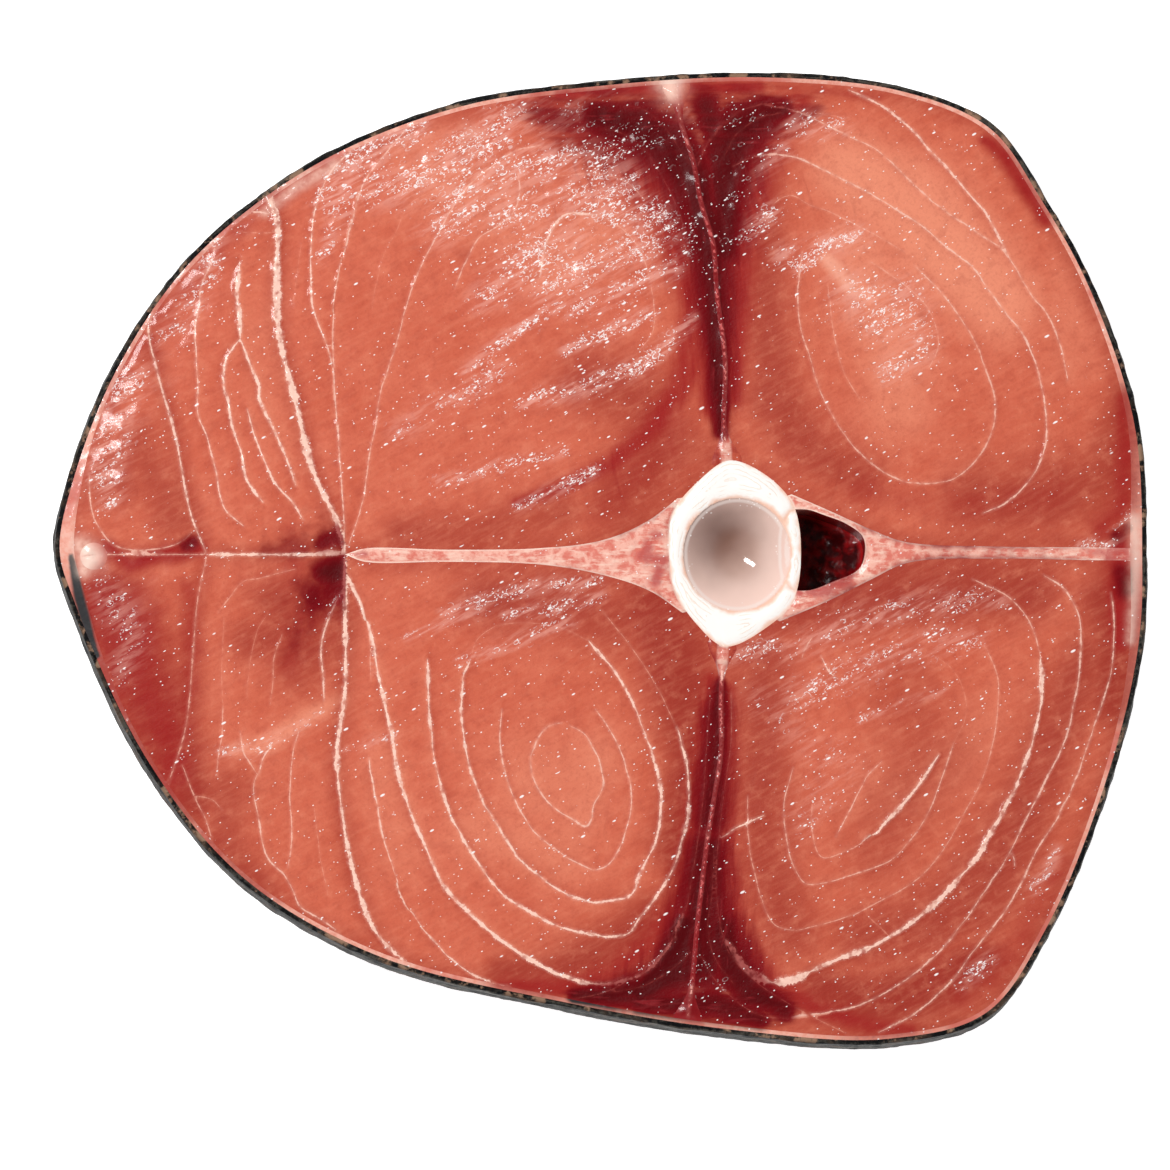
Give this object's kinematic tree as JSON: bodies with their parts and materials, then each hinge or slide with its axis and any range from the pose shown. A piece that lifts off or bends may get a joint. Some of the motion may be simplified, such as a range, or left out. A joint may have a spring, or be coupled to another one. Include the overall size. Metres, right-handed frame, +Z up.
{
  "type": "raw marlin loin steak",
  "caption": "Thick round raw fish steak cut across the body, with dark skin rim, layered coral flesh, dark muscle wedges, pale membranes and a hollow backbone.",
  "frame": {"origin": "Centre of the steak's bounding box, on the surface that it lies on.", "axes": "X runs along the cut from the fish's back (-X) to its belly (+X), Y across it from flank to flank, Z up from the lower cut face to the upper one."},
  "size_m": [0.2746, 0.2456, 0.0329],
  "materials": {
    "flesh": "wet raw flesh",
    "crest_flesh": "wet raw flesh",
    "dark_muscle": "wet dark muscle",
    "membrane": "wet membrane",
    "clot": "wet clotted blood",
    "bone": "damp cut bone",
    "jelly": "clear greyish jelly",
    "fat": "satin fat",
    "skin": "damp dark scaly skin"
  },
  "bodies": {
    "root": {"backLeftMuscle": "flesh", "backRightMuscle": "flesh", "bellyLeftMuscle": "flesh", "bellyRightMuscle": "flesh", "crestLeftMuscle": "crest_flesh", "crestRightMuscle": "crest_flesh", "finLeftMuscle": "crest_flesh", "finRightMuscle": "crest_flesh", "darkBackLeftMuscle": "dark_muscle", "darkBellyLeftMuscle": "dark_muscle", "darkBackRightMuscle": "dark_muscle", "darkBellyRightMuscle": "dark_muscle", "flankMembraneLeft": "membrane", "flankMembraneRight": "membrane", "backMembrane": "membrane", "bellyMembrane": "membrane", "canalClot": "clot", "backboneBone": "bone", "backboneJelly": "jelly", "finLigament": "fat", "fatLayer": "fat", "skin": "skin"}
  },
  "joints": []
}
